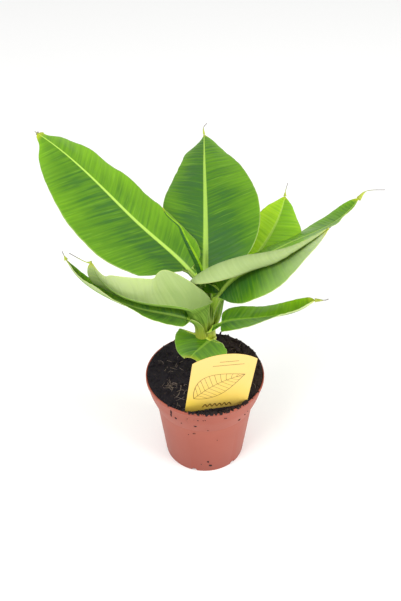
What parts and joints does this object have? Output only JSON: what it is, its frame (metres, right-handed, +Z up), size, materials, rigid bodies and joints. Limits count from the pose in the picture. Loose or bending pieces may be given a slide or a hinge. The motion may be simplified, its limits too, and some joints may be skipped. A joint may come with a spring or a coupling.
{
  "type": "potted banana plant",
  "caption": "Young banana plant with broad upswept leaves round a short stem, in a round nursery pot of soil with a plant label.",
  "frame": {"origin": "middle of the pot's flat underside", "axes": "+Z up, -Y towards the front where the plant label stands, +X to the right seen from the front"},
  "size_m": [0.3496, 0.2573, 0.3268],
  "materials": {
    "pot_plastic": "terracotta-coloured moulded plastic, satin",
    "label_card": "yellow plastic plant label, satin",
    "potting_soil": "moist dark potting soil with fibres",
    "stem_green": "smooth waxy green stem",
    "leaf_blade": "satin green leaf with a pale midrib",
    "leaf_young": "satin yellow-green young leaf"
  },
  "bodies": {
    "root": {"pot": "pot_plastic", "label": "label_card", "soil": "potting_soil", "stem": "stem_green", "stalk_upper_left": "stem_green", "stalk_upper_middle": "stem_green", "stalk_back_right": "stem_green", "stalk_far_right": "stem_green", "stalk_curled_right": "stem_green", "stalk_low_right": "stem_green", "stalk_cupped_left": "stem_green", "stalk_low_left": "stem_green", "stalk_front": "stem_green", "leaf_upper_left": "leaf_blade", "leaf_upper_middle": "leaf_blade", "leaf_back_right": "leaf_young", "leaf_far_right": "leaf_blade", "leaf_curled_right": "leaf_blade", "leaf_low_right": "leaf_blade", "leaf_cupped_left": "leaf_blade", "leaf_low_left": "leaf_blade", "leaf_front": "leaf_blade", "leaf_rolled": "leaf_young"}
  },
  "joints": []
}
